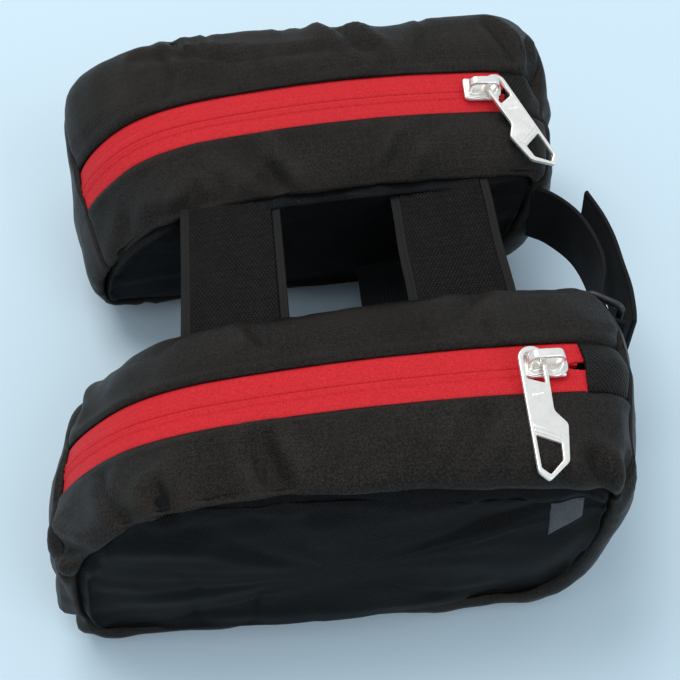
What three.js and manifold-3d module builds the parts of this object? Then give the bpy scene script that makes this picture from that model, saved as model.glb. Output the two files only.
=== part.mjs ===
// Twin-pouch top-tube bag: two soft zipped pouches that hang either side of a
// bicycle's top tube.  Two hook-tape straps and a lower loop strap cross the
// gap, and a third strap goes round the head tube.
// Millimetres.  +Z is up, +X is the front of the bicycle, the near pouch is on
// the -Y side and the far pouch on the +Y side.  The sizes below are measured
// from the middle of the gap; at the end the whole bag is moved so that the
// origin is on the ground at the middle of its outline.
import * as THREE from 'three';
import { mergeVertices } from 'three/addons/utils/BufferGeometryUtils.js';
import Module from 'manifold-3d';

const wasm = await Module();
wasm.setup();

// ---------- main sizes ----------
const GAP = 0.3;            // clearance left between sewn neighbours
const CLOTH = 2.2;          // padded cloth: two skins and a thin foam
const FOAM = 2.0;           // loose foam liner inside each side panel
const TAPE = 1.0;           // zip tape
const TAPE_HALF_GAP = 0.9;  // half the slit between the two zip tapes
const STRAP = 1.8;          // hook tape and webbing
const STRAP_WIDTH = 38;     // the two hook straps
const STRAP_TOP = 68.6;     // height of the hook straps' upper face
const STRAP_X = [-31, 49];  // middles of the hook straps
const INNER_Y = 31;         // seam of the panel that faces the gap
const OUTER_Y = { near: 111, far: 117 };  // seam of the outer panel, at its foot
const ZIP_Y = 66;           // middle of the zip
const FLARE = { near: 0.03, far: -0.015 };  // how far that seam goes out for each mm forwards
const LEAN = 0.14;          // how far the outer seam comes in for each mm it climbs
const ARC_R = 465;          // the top of each pouch is a slack arc of this radius
const ARC_X = 16;
const ARC_TOP = 82.5;
const TILT = { near: 1.5, far: 9.5 };  // rise of the top from its middle to its outer edge

// Height of the pouch's top along the straight run of the zip.
const arcZ = (x) => ARC_TOP - ARC_R + Math.sqrt(ARC_R ** 2 - (x - ARC_X) ** 2);

// Rows round a pouch, front end of the zip first and then over the top to the
// rear: outer seam x z, inner seam x z, crest of the band x z, how much of the
// pouch's tilt moves the crest there in x and z, and how far the crest's gap
// side is drawn in, x and z.
const ROWS = [
  [80, 70, 80, 66, 82, arcZ(82), 0, 1, 0, 0],
  [64, 71, 66, 67, 62, arcZ(62), 0, 1, 0, 0],
  [40, 73, 42, 68, 38, arcZ(38), 0, 1, 0, 0],
  [10, 76, 10, 68, 8, arcZ(8), 0, 1, 0, 0],
  [-20, 78, -20, 67, -20, arcZ(-20), 0, 1, 0, 0],
  [-48, 77, -46, 63, -46, arcZ(-46), 0, 1, 0, 0],
  [-64, 71, -62, 56, -67, 72, -0.1, 1.1, 2, -1],
  [-77, 60, -73, 48, -83, 61, -0.4, 1.1, 3, -2],
  [-86, 47, -81, 39, -94, 48, -0.5, 0.8, 3, -1],
  [-89, 33, -86, 29, -100, 33, -0.3, 0.1, 4, 0],
  [-90, 20, -87, 19, -101, 16, -0.1, 0, 6, 1],
  [-84, 12, -82, 13, -95, 0.6, 0, 0, 6, 2],
  [-55, 11, -55, 11, -60, -0.9, 0, 0, 1, 0],
  [-10, 11, -10, 11, -10, -0.9, 0, 0, 0, 0],
  [35, 11, 35, 11, 36, -0.9, 0, 0, 0, 0],
  [60, 14, 60, 14, 69, 0.8, 0, 0, 0, 0],
  [74, 27, 73, 26, 87, 18, 0, 0, 0, 0],
  [82, 44, 81, 42, 96, 40, 0.1, 0, 0, 0],
  [85, 57, 84, 55, 98.5, 60, 0.2, 0.4, 0, 0],
  [85, 66, 84, 63, 93, 73, 0.1, 0.8, 0, 0],
];
const ZIP_FRONT = 0.1, ZIP_REAR = 8.0;   // rows where the red tape starts and stops
const FRONT_CORNER = -1.35;              // row where the top strips meet the gusset
const SEAM = 0.97;                       // band position where the cloth is turned in and sewn

const HALF = 35;            // half the width of the band, for its profile
// Half profile across the band, from its crest to a seam: sideways share of
// the half width, and share of the way from the seam line up to the crest.
const PROFILE = new THREE.SplineCurve([
  [0, 1], [0.32, 0.99], [0.6, 0.965], [0.82, 0.88], [0.96, 0.7],
  [1.03, 0.45], [1.035, 0.2], [1, 0],
].map(([s, h]) => new THREE.Vector2(HALF * s, 10 * h)));
const ZIP_HALF = 9.4;       // half the width of red tape that shows

// Catmull-Rom value of one column of ROWS at row t, going round and round.
function rowValue(t, column) {
  const n = ROWS.length, i = Math.floor(t), f = t - i;
  const [a, b, c, d] = [-1, 0, 1, 2].map((k) => ROWS[(((i + k) % n) + n) % n][column]);
  return b + 0.5 * f * (c - a + f * (2 * a - 5 * b + 4 * c - d + f * (3 * (b - c) + d - a)));
}

// How far a side panel swells at x, z: 1 in the middle, 0 on its seam.
function swell(x, z) {
  const u = Math.min(1, Math.abs((x + 3) / 87)), w = Math.min(1, Math.abs((z - 43) / 34));
  return (1 - u ** 4) * (1 - w ** 2);
}
const innerY = (x, z) => INNER_Y - 3 * swell(x, z);
const seamY = (pouch, x, z) => pouch.outer - LEAN * (z - 12) + pouch.flare * x;
const outerY = (pouch, x, z) => seamY(pouch, x, z) + 4 * swell(x, z);

// ---------- the surface of a pouch ----------
// Each pouch is a side (-1 near, +1 far), its outer seam and the tilt of its top.
const POUCHES = {
  near: { side: -1, outer: OUTER_Y.near, flare: FLARE.near, tilt: TILT.near },
  far: { side: 1, outer: OUTER_Y.far, flare: FLARE.far, tilt: TILT.far },
};

// Point of the band at row t; v runs from -1 on the inner seam to 1 on the outer.
// The foot of the pouch lies flat on the ground.
function bandPoint(pouch, t, v) {
  const [ox, low, ix, iz, cx, cz, tx, tz, ex, ez] = ROWS[0].map((_, column) => rowValue(t, column));
  const oz = low + (pouch.tilt - TILT.near) * 0.8 * tz;
  const p = PROFILE.getPointAt(Math.min(1, Math.abs(v)));
  const s = Math.sign(v) * p.x / HALF, h = p.y / 10;
  const y = s < 0 ? ZIP_Y + s * (ZIP_Y - INNER_Y) : ZIP_Y + s * (seamY(pouch, ox, low) - ZIP_Y);
  const onSeam = THREE.MathUtils.clamp((s + 1) / 2, 0, 1), drawn = Math.max(0, -s);
  const seamX = THREE.MathUtils.lerp(ix, ox, onSeam), seamZ = THREE.MathUtils.lerp(iz, oz, onSeam);
  return new THREE.Vector3(
    seamX + (cx + pouch.tilt * tx * s + ex * drawn - seamX) * h,
    pouch.side * y,
    Math.max(0, seamZ + (cz + pouch.tilt * tz * s + ez * drawn - seamZ) * h),
  );
}

// Band position of the zip tape's edge, on the gap side (-1) or the outer side.
function zipEdge(pouch, sign) {
  const reach = sign < 0 ? ZIP_Y - INNER_Y : seamY(pouch, 0, 77) - ZIP_Y;
  let v = 0;
  while (PROFILE.getPointAt(v).x / HALF * reach < ZIP_HALF) v += 0.001;
  return sign * v;
}

// Point on the face of a side panel at ring r (0 centre, 1 seam) and row t.
function panelPoint(pouch, outer, r, t) {
  const x0 = -3, z0 = 42;
  const rim = bandPoint(pouch, t, outer ? 1 : -1);
  const x = x0 + (rim.x - x0) * r, z = z0 + (rim.z - z0) * r;
  return new THREE.Vector3(x, pouch.side * (outer ? outerY(pouch, x, z) : innerY(x, z)), z);
}

// Unit normal of a surface at (a, b), pointing away from the given middle.
function normalAt(surface, a, b, middle) {
  const e = 0.02;
  const da = surface(a + e, b).sub(surface(a - e, b));
  const db = surface(a, b + e).sub(surface(a, b - e));
  const n = da.cross(db).normalize();
  return n.dot(surface(a, b).sub(middle)) < 0 ? n.negate() : n;
}

// ---------- closed solids ----------
// A BufferGeometry from points and triangles, turned so its faces point out.
function solid(points, faces) {
  let volume = 0;
  for (const [a, b, c] of faces) volume += points[a].dot(points[b].clone().cross(points[c]));
  const g = new THREE.BufferGeometry();
  g.setAttribute('position', new THREE.Float32BufferAttribute(points.flatMap((p) => p.toArray()), 3));
  g.setIndex(faces.flatMap(([a, b, c]) => (volume < 0 ? [a, c, b] : [a, b, c])));
  g.computeVertexNormals();
  return g;
}

// Solid between two skins, each a grid of rows x columns of points.
function slab(top, bottom) {
  const m = top.length, n = top[0].length, points = [...top.flat(), ...bottom.flat()];
  const at = (i, j, low) => i * n + j + (low ? m * n : 0), faces = [];
  const quad = (a, b, c, d) => faces.push([a, b, c], [a, c, d]);
  for (let i = 0; i < m - 1; i++) {
    for (let j = 0; j < n - 1; j++) {
      quad(at(i, j), at(i + 1, j), at(i + 1, j + 1), at(i, j + 1));
      quad(at(i, j, 1), at(i, j + 1, 1), at(i + 1, j + 1, 1), at(i + 1, j, 1));
    }
    quad(at(i, 0), at(i, 0, 1), at(i + 1, 0, 1), at(i + 1, 0));
    quad(at(i, n - 1), at(i + 1, n - 1), at(i + 1, n - 1, 1), at(i, n - 1, 1));
  }
  for (let j = 0; j < n - 1; j++) {
    quad(at(0, j), at(0, j + 1), at(0, j + 1, 1), at(0, j, 1));
    quad(at(m - 1, j), at(m - 1, j, 1), at(m - 1, j + 1, 1), at(m - 1, j + 1));
  }
  return solid(points, faces);
}

const range = (a, b, n) => Array.from({ length: n + 1 }, (_, i) => a + (b - a) * i / n);

// Piece of the band between rows t0..t1 and positions v0..v1; its outer skin
// stands `rise` above the band's surface and it is `thick` deep.
function bandSheet(pouch, [t0, t1, nt], [v0, v1, nv], thick, rise = 0) {
  const surface = (t, v) => bandPoint(pouch, t, v);
  const middle = new THREE.Vector3(0, pouch.side * 66, 42);
  const skin = (depth) => range(t0, t1, nt).map((t) => range(v0, v1, nv).map((v) =>
    surface(t, v).addScaledVector(normalAt(surface, t, THREE.MathUtils.clamp(v, -0.97, 0.97), middle), -depth)));
  return slab(skin(-rise), skin(thick - rise));
}

// Side panel or liner: rings round a centre, out to ring `reach`, its outer
// skin `depth` under the pouch's face and `thick` deep.
function panelDisc(pouch, outer, reach, depth, thick, nt, nr) {
  const points = [], faces = [], n = nt * nr + 1;
  const inwards = new THREE.Vector3(0, outer ? -pouch.side : pouch.side, 0);
  for (const d of [depth, depth + thick]) {
    points.push(panelPoint(pouch, outer, 0, 0).addScaledVector(inwards, d));
    for (const r of range(reach / nr, reach, nr - 1))
      for (let j = 0; j < nt; j++)
        points.push(panelPoint(pouch, outer, r, j * ROWS.length / nt).addScaledVector(inwards, d));
  }
  const at = (i, j, low) => 1 + (i - 1) * nt + (j % nt) + (low ? n : 0);
  for (let j = 0; j < nt; j++) {
    faces.push([0, at(1, j), at(1, j + 1)], [n, at(1, j + 1, 1), at(1, j, 1)]);
    for (let i = 1; i < nr; i++) {
      faces.push([at(i, j), at(i + 1, j), at(i + 1, j + 1)], [at(i, j), at(i + 1, j + 1), at(i, j + 1)]);
      faces.push([at(i, j, 1), at(i + 1, j + 1, 1), at(i + 1, j, 1)], [at(i, j, 1), at(i, j + 1, 1), at(i + 1, j + 1, 1)]);
    }
    faces.push([at(nr, j), at(nr, j, 1), at(nr, j + 1, 1)], [at(nr, j), at(nr, j + 1, 1), at(nr, j + 1)]);
  }
  return solid(points, faces);
}

// Extruded outline with holes; the outline lies in the XY plane.
function plate(outline, height, holes = []) {
  const path = (corners) => corners.map(([x, y]) => new THREE.Vector2(x, y));
  const turned = (corners) => (THREE.ShapeUtils.isClockWise(corners) ? corners.reverse() : corners);
  const shape = new THREE.Shape(turned(path(outline)));
  shape.holes = holes.map((hole) => new THREE.Path(turned(path(hole)).reverse()));
  return new THREE.ExtrudeGeometry(shape, { depth: height, bevelEnabled: false });
}
const box = (sx, sy, sz, x, y, z) => new THREE.BoxGeometry(sx, sy, sz).translate(x, y, z);

// Closed geometries joined into one body.
function join(parts) {
  const solids = parts.map((geometry) => {
    const bare = geometry.clone();
    bare.deleteAttribute('normal');
    bare.deleteAttribute('uv');
    const merged = mergeVertices(bare, 1e-4);
    return new wasm.Manifold(new wasm.Mesh({
      numProp: 3,
      vertProperties: merged.attributes.position.array,
      triVerts: new Uint32Array(merged.index.array),
    }));
  });
  const mesh = solids.reduce((a, b) => a.add(b)).getMesh();
  const g = new THREE.BufferGeometry();
  g.setAttribute('position', new THREE.BufferAttribute(new Float32Array(mesh.vertProperties), 3));
  g.setIndex([...mesh.triVerts]);
  g.computeVertexNormals();
  return g;
}

// Strap standing on edge: a path in plan, given thickness and height.
function standingStrap(path, thick, z0, z1, samples = 22) {
  const curve = new THREE.SplineCurve(path.map(([x, y]) => new THREE.Vector2(x, y)));
  const left = [], right = [];
  for (const u of range(0, 1, samples)) {
    const p = curve.getPointAt(u), d = curve.getTangentAt(u);
    left.push([p.x - d.y * thick / 2, p.y + d.x * thick / 2]);
    right.unshift([p.x + d.y * thick / 2, p.y - d.x * thick / 2]);
  }
  return plate([...left, ...right], z1 - z0).translate(0, 0, z0);
}

// ---------- looks ----------
const look = (color, roughness, metalness = 0) =>
  new THREE.MeshStandardMaterial({ color, roughness, metalness });
const FABRIC = look(0x1d1b1b, 0.75), LINER = look(0x3a3c3e, 0.9), RED = look(0xd81f2e, 0.8);
const NICKEL = look(0xd8d6cf, 0.22, 1), HOOK = look(0x151415, 0.95), WEBBING = look(0x16181c, 0.85);
const PLASTIC = look(0x101214, 0.4), REFLECTIVE = look(0x6b6f73, 0.45);

const bag = new THREE.Group();
bag.name = 'top_tube_bag';
function add(name, geometry, material, parent = bag) {
  const mesh = new THREE.Mesh(geometry, material);
  mesh.name = name;
  parent.add(mesh);
  return mesh;
}

// ---------- zip slider and pull ----------
const PLATE = [[-7.5, -5], [-2, -4.2], [3, -5.6], [7, -3.4], [7.5, 0]];  // half outline of the body
const ARCH_LEG = 5.2;   // the bridge's legs stand this far either side of the middle
const PULL_Z = 2.9;     // underside of the pull above the tape

function sliderGeometry() {
  const outline = [...PLATE, ...PLATE.slice(0, -1).reverse().map(([x, y]) => [x, -y])];
  const bridge = new THREE.Shape([[-6, 0], [-6, 4], [-4.4, 5.9], [4.4, 5.9], [6, 4], [6, 0],
    [4.4, 0], [4.4, 3.3], [3.6, 4.2], [-3.6, 4.2], [-4.4, 3.3], [-4.4, 0]]
    .map(([x, y]) => new THREE.Vector2(x, y)));
  const arch = new THREE.ExtrudeGeometry(bridge, { depth: 3.2, bevelEnabled: false })
    .rotateX(Math.PI / 2).translate(0, 1.6, 1.6);
  return join([
    plate(outline, 1.3).translate(0, 0, 0.6),
    plate(outline, 1.3).translate(0, 0, -5.2),
    box(4.5, 1.0, 6.2, 4.6, 0, -2.2),
    arch,
  ]);
}

// The pull lies flat and turns about one leg of the bridge, at the origin.  Its
// eye is a rounded loop, one edge is straight and the other steps out to a
// pointed end with a five-sided window.  hand = -1 gives the turned-over pull.
function pullGeometry(hand) {
  const turn = ([u, w]) => [hand * (u - 3.9), -(w - 4.9)];
  const arc = (r, w0, a0, a1) => range(a0, a1, 8).map((a) => [4.45 + r * Math.cos(a), w0 - r * Math.sin(a)]);
  const outline = [...arc(4.45, 4.45, 0, Math.PI), [0, 43], [3.2, 46], [10.2, 40],
    [12, 27.5], [8.4, 23]].map(turn);
  const eye = [...arc(2.85, 4.75, 0, Math.PI), [1.6, 11.6], [7.3, 13.4]].map(turn);
  const window = [[1.3, 31], [1.3, 41.8], [3.7, 43.9], [8.2, 39.4], [8.6, 34]].map(turn);
  return plate(outline, 1.6, [eye, window]);
}

// Group whose X runs along the zip at row t and whose Z stands square to the tape.
function zipFrame(pouch, t) {
  const frame = new THREE.Group(), at = bandPoint(pouch, t, 0);
  const along = new THREE.Vector3(1, 0, -Math.tan(Math.asin((at.x - ARC_X) / ARC_R))).normalize();
  const across = bandPoint(pouch, t, 0.2 * pouch.side).sub(bandPoint(pouch, t, -0.2 * pouch.side));
  const up = along.clone().cross(across).normalize();
  frame.quaternion.setFromRotationMatrix(new THREE.Matrix4().makeBasis(along, up.clone().cross(along), up));
  frame.position.copy(at);
  bag.add(frame);
  return frame;
}

// ---------- the two pouches ----------
for (const [name, pouch] of Object.entries(POUCHES)) {
  const cut = 0.035, cutV = 0.008;    // row and band steps that leave a gap between pieces
  const rows = ROWS.length, edge = { inner: zipEdge(pouch, -1), outer: zipEdge(pouch, 1) };
  const piece = (part, geometry, material) => add(`${name}_${part}`, geometry, material);

  piece('gusset', bandSheet(pouch, [ZIP_REAR + cut, rows + FRONT_CORNER - cut, 30], [-SEAM, SEAM, 8], CLOTH), FABRIC);
  piece('top_inner_strip',
    bandSheet(pouch, [FRONT_CORNER + cut, ZIP_REAR - cut, 22], [-SEAM, edge.inner - cutV, 4], CLOTH), FABRIC);
  piece('top_outer_strip',
    bandSheet(pouch, [FRONT_CORNER + cut, ZIP_REAR - cut, 22], [edge.outer + cutV, SEAM, 4], CLOTH), FABRIC);
  piece('zip_end_panel',
    bandSheet(pouch, [FRONT_CORNER + cut, ZIP_FRONT - cut, 5], [edge.inner, edge.outer, 2], CLOTH), FABRIC);
  for (const [hand, v] of Object.entries(edge)) {
    const slit = v * TAPE_HALF_GAP / ZIP_HALF;
    piece(`zip_tape_${hand}`,
      bandSheet(pouch, [ZIP_FRONT + cut, ZIP_REAR - cut, 26], [slit, v, 1], TAPE), RED);
    piece(`zip_coil_${hand}`,
      bandSheet(pouch, [ZIP_FRONT + 0.1, ZIP_REAR - 0.3, 24], [slit, slit * 3.2, 1], 1.6, -TAPE - GAP), RED);
  }
  piece('outer_panel', panelDisc(pouch, true, 0.955, 0, CLOTH, 32, 4), FABRIC);
  piece('inner_panel', panelDisc(pouch, false, 0.955, 0, CLOTH, 32, 4), FABRIC);
  piece('outer_liner', panelDisc(pouch, true, 0.86, CLOTH + GAP, FOAM, 20, 2), LINER);
  piece('inner_liner', panelDisc(pouch, false, 0.86, CLOTH + GAP, FOAM, 20, 2), LINER);
}

// Sliders rest at the front of the zips.  The near pull hangs round the rear
// leg of its bridge, the far one round the front leg and turned over.
const NEAR_PULL_DROP = THREE.MathUtils.degToRad(7);
const nearZip = zipFrame(POUCHES.near, 0.77);
add('near_slider', sliderGeometry(), NICKEL, nearZip);
add('near_pull', pullGeometry(1).rotateZ(THREE.MathUtils.degToRad(-2)).rotateX(NEAR_PULL_DROP)
  .translate(-ARCH_LEG, 0, PULL_Z), NICKEL, nearZip);
const farZip = zipFrame(POUCHES.far, 0.55);
add('far_slider', sliderGeometry(), NICKEL, farZip);
add('far_pull', pullGeometry(-1).rotateZ(THREE.MathUtils.degToRad(24))
  .translate(ARCH_LEG, 0, PULL_Z), NICKEL, farZip);

// ---------- straps across the gap ----------
STRAP_X.forEach((x, i) => {
  const from = 1.8 - INNER_Y, to = INNER_Y - 3.6;   // sewn close to the near pouch, free to fold at the far one
  add(`hook_strap_${i ? 'front' : 'rear'}`,
    box(STRAP_WIDTH, to - from, STRAP, x, (from + to) / 2, STRAP_TOP - STRAP / 2), HOOK);
});
const LOWER_Z = 25;
add('lower_loop_strap', box(48, 2 * (INNER_Y - 4.6), STRAP, 40, 0, LOWER_Z), WEBBING);

// ---------- strap round the head tube ----------
const HEAD_Z = [31, 59];
add('head_strap', standingStrap([[86.5, 31.5], [94, 26], [101, 15], [104.5, 0], [104, -13], [100.5, -23],
  [99.2, -30], [101.2, -36], [105, -38.4]], STRAP, ...HEAD_Z), WEBBING);
add('head_strap_tail', standingStrap([[108.2, -37.6], [109.5, -32], [111, -18], [111.5, -3], [110, 12],
  [107, 26]], STRAP, ...HEAD_Z), WEBBING);
const RING_FROM = [93, -24.5], RING_TO = [105.5, -34.5], RING_Z = [26.5, 63.5];
function ringGeometry() {
  const length = Math.hypot(RING_TO[0] - RING_FROM[0], RING_TO[1] - RING_FROM[1]);
  const height = RING_Z[1] - RING_Z[0];
  const g = plate([[0, 0], [length, 0], [length, height], [0, height]], 2.6,
    [[[2.6, 3.2], [2.6, height - 3.2], [length - 2.6, height - 3.2], [length - 2.6, 3.2]]]);
  return g.translate(0, 0, -1.3).rotateX(Math.PI / 2)
    .rotateZ(Math.atan2(RING_TO[1] - RING_FROM[1], RING_TO[0] - RING_FROM[0]))
    .translate(RING_FROM[0], RING_FROM[1], RING_Z[0]);
}
add('head_strap_ring', ringGeometry(), PLASTIC);
add('ring_tab', standingStrap([[84, -27.6], [87, -25.6], [91.4, -23.4]], STRAP, 31, 59, 3), WEBBING);

// ---------- reflective patches ----------
for (const [name, pouch] of Object.entries(POUCHES)) {
  const skin = (rise) => range(61, 73, 3).map((x) => range(50, 64, 3).map((z) =>
    new THREE.Vector3(x, pouch.side * (outerY(pouch, x, z) + rise), z)));
  add(`${name}_reflective_patch`, slab(skin(1.1), skin(GAP)), REFLECTIVE);
}

// Ground and middle of the whole bag at the origin.
const bounds = new THREE.Box3().setFromObject(bag, true), centre = bounds.getCenter(new THREE.Vector3());
bag.position.set(-centre.x, -centre.y, -bounds.min.z);

export default bag;
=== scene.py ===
"""Looks of the twin-pouch top tube bag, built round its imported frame.

Shapes are worked out in the CAD's own layout, in millimetres, and moved into
the row frame, in metres, by place().  +X is the front of the bicycle, the near
pouch is on the -Y side and the far pouch on the +Y side.
"""
import math

import bmesh
import bpy
import numpy as np
from mathutils import Matrix, Vector


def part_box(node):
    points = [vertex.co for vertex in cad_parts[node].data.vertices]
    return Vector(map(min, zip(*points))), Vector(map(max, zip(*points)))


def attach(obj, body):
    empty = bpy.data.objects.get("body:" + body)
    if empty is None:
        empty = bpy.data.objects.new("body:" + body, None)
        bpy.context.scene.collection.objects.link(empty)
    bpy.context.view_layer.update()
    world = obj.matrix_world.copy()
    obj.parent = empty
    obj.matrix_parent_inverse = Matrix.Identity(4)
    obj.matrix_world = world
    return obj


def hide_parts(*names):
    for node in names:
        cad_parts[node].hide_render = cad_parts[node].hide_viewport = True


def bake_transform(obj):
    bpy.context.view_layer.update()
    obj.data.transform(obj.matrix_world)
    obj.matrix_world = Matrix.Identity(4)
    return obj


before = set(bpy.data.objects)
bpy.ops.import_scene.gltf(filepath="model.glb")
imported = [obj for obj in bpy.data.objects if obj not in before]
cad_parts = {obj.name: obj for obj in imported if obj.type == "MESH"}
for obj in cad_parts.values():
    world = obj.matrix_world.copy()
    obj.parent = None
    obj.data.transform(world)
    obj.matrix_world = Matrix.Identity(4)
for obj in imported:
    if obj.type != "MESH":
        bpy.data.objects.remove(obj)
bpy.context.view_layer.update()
scene = bpy.context.scene

# ---------------- layout
_low, _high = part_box("hook_strap_rear")
STRAP_MIDDLE = (-31, -0.9, 68.6)  # the rear hook strap's middle and top in the layout
SHIFT = np.array([(_low.x + _high.x) * 500 - STRAP_MIDDLE[0], (_low.y + _high.y) * 500 - STRAP_MIDDLE[1],
                  _high.z * 1000 - STRAP_MIDDLE[2]])


def place(points):
    """Layout millimetres to the row frame in metres."""
    return (np.asarray(points, float) + SHIFT) * 0.001


INNER_Y, ZIP_Y, LEAN = 31.0, 66.0, 0.14
SEAM_BASE_Z, SEAM_TOP_Z = 12, 77
PANEL_X, PANEL_Z = -3, 42  # the middle of every side panel
ROWS_TILT = 1.5  # the tilt that the heights in ROWS were set for
ARC_R, ARC_X, ARC_TOP = 465.0, 16.0, 82.5
ZIP_HALF = 9.4
ZIP_FRONT, ZIP_REAR, FRONT_CORNER = 0.1, 8.0, -1.35
POUCHES = {
    "near": {"side": -1, "outer": 111.0, "flare": 0.03, "tilt": 1.5, "nip": 7.0, "seed": 3},
    "far": {"side": 1, "outer": 117.0, "flare": -0.015, "tilt": 9.5, "nip": 0.0, "seed": 11},
}


def arc_z(x):
    return ARC_TOP - ARC_R + np.sqrt(ARC_R**2 - (x - ARC_X) ** 2)


# Rows round a pouch: outer seam x z, inner seam x z, crest x z, share of the
# tilt that moves the crest in x and z, and how far the gap side is drawn in.
ROWS = np.array([
    [80, 70, 80, 66, 82, arc_z(82), 0, 1, 0, 0],
    [64, 71, 66, 67, 62, arc_z(62), 0, 1, 0, 0],
    [40, 73, 42, 68, 38, arc_z(38), 0, 1, 0, 0],
    [10, 76, 10, 68, 8, arc_z(8), 0, 1, 0, 0],
    [-20, 78, -20, 67, -20, arc_z(-20), 0, 1, 0, 0],
    [-48, 77, -46, 63, -46, arc_z(-46), 0, 1, 0, 0],
    [-64, 71, -62, 56, -67, 72, -0.1, 1.1, 2, -1],
    [-77, 60, -73, 48, -83, 61, -0.4, 1.1, 3, -2],
    [-86, 47, -81, 39, -94, 48, -0.5, 0.8, 3, -1],
    [-89, 33, -86, 29, -100, 33, -0.3, 0.1, 4, 0],
    [-90, 20, -87, 19, -101, 16, -0.1, 0, 6, 1],
    [-84, 12, -82, 13, -95, 0.6, 0, 0, 6, 2],
    [-55, 11, -55, 11, -60, -0.9, 0, 0, 1, 0],
    [-10, 11, -10, 11, -10, -0.9, 0, 0, 0, 0],
    [35, 11, 35, 11, 36, -0.9, 0, 0, 0, 0],
    [60, 13, 60, 14, 70, -0.6, 0, 0, 0, 0],
    [75, 24, 73, 26, 90, 13, 0, 0, 0, 0],
    [83, 42, 81, 42, 97, 38, 0.1, 0, 0, 0],
    [85, 57, 84, 55, 98.5, 60, 0.2, 0.4, 0, 0],
    [85, 66, 84, 63, 93, 73, 0.1, 0.8, 0, 0],
])


def catmull(a, b, c, d, f):
    return b + 0.5 * f * (c - a + f * (2 * a - 5 * b + 4 * c - d + f * (3 * (b - c) + d - a)))


def row_values(t):
    """Every column of ROWS at rows t, going round and round."""
    i = np.floor(t).astype(int)
    f = (t - i)[..., None]
    return catmull(*[ROWS[(i + k) % len(ROWS)] for k in (-1, 0, 1, 2)], f)


def spline(points, samples):
    """Evenly spaced points on the smooth curve through these points, and the directions there."""
    p = np.array(points, float)
    q = np.vstack([p[0], p, p[-1]])
    f = np.linspace(0, 1, 60, endpoint=False)[:, None]
    fine = np.vstack([catmull(*q[i:i + 4], f) for i in range(len(p) - 1)] + [p[-1:]])
    length = np.concatenate([[0], np.cumsum(np.linalg.norm(np.diff(fine, axis=0), axis=1))])
    at = np.linspace(0, length[-1], samples)
    out = np.column_stack([np.interp(at, length, fine[:, k]) for k in range(p.shape[1])])
    along = np.gradient(out, axis=0)
    return out, along / np.linalg.norm(along, axis=1)[:, None]


# Half of a pouch's section, from the zip's line down to the seam.
PROFILE_HALF, PROFILE_RISE, PROFILE_STEPS = 35, 10, 400
PROFILE = spline([(0, 10), (11.2, 9.9), (21, 9.65), (28.7, 8.8), (33.6, 7), (36.05, 4.5), (36.225, 2),
                  (35, 0)], PROFILE_STEPS + 1)[0]
PROFILE_V = np.linspace(0, 1, PROFILE_STEPS + 1)


def profile(v):
    """Sideways share of the half width, and share of the way from seam line to crest, at band position v."""
    a = np.clip(np.abs(v), 0, 1) * PROFILE_STEPS
    across, rise = [np.interp(a, np.arange(PROFILE_STEPS + 1), PROFILE[:, k]) for k in (0, 1)]
    return np.sign(v) * across / PROFILE_HALF, rise / PROFILE_RISE


def swell(x, z):
    """Share of the bulge that a side panel has at x, z."""
    u = np.minimum(1, np.abs((x - PANEL_X) / 87))
    w = np.minimum(1, np.abs((z - 43) / 34))
    return (1 - u**4) * (1 - w**2)


def seam_y(pouch, x, z):
    return pouch["outer"] - LEAN * (z - SEAM_BASE_Z) + pouch["flare"] * x


def inner_y(pouch, x, z):
    return INNER_Y - 3 * swell(x, z)


def outer_y(pouch, x, z):
    return seam_y(pouch, x, z) + 4 * swell(x, z)


def band(pouch, t, v):
    """Points of the band for every row in t and position in v, as an array rows x positions x 3."""
    ox, low, ix, iz, cx, cz, tx, tz, ex, ez = [c[:, None] for c in row_values(np.asarray(t, float)).T]
    s, h = [a[None, :] for a in profile(np.asarray(v, float))]
    tilt = pouch["tilt"]
    oz = low + (tilt - ROWS_TILT) * 0.8 * tz
    y = np.where(s < 0, ZIP_Y + s * (ZIP_Y - INNER_Y), ZIP_Y + s * (seam_y(pouch, ox, low) - ZIP_Y))
    part = np.clip((s + 1) / 2, 0, 1)
    drawn = np.maximum(0, -s)
    seam_x, seam_z = ix + (ox - ix) * part, iz + (oz - iz) * part
    x = seam_x + (cx + tilt * tx * s + ex * drawn - seam_x) * h
    z = seam_z + (cz + tilt * tz * s + ez * drawn - seam_z) * h
    x = x - pouch["nip"] * np.clip((x - 55) / 40, 0, 1) * np.clip(s, 0, 1)
    return np.stack([x, pouch["side"] * y, np.maximum(0, z)], -1)


def from_zip(pouch, sign, distance):
    """Band position this far from the zip's line, on the gap side (-1) or the outer side (1)."""
    reach = ZIP_Y - INNER_Y if sign < 0 else seam_y(pouch, 0, SEAM_TOP_Z) - ZIP_Y
    return sign * np.interp(distance / reach * PROFILE_HALF, PROFILE[:, 0], PROFILE_V)


# ---------------- noise
def noise(points, size, seed):
    """Smooth noise from -1 to 1 at 1-, 2- or 3-D points, with features about `size` across."""
    p = np.atleast_2d(np.asarray(points, float))
    p = p / size + 1000.0
    table = np.random.RandomState(seed).uniform(-1, 1, 4096)
    cell = np.floor(p).astype(int)
    f = p - cell
    f = f * f * (3 - 2 * f)
    total = np.zeros(p.shape[:-1])
    for corner in np.ndindex(*([2] * p.shape[-1])):
        key, weight = 0, 1.0
        for k, step in enumerate(corner):
            key = key * 61 + (cell[..., k] + step)
            weight = weight * (f[..., k] if step else 1 - f[..., k])
        total = total + weight * table[(key * 2654435 + (key >> 5)) % 4096]
    return total


def noise1(a, size, seed):
    return noise(np.asarray(a)[..., None], size, seed)


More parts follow.
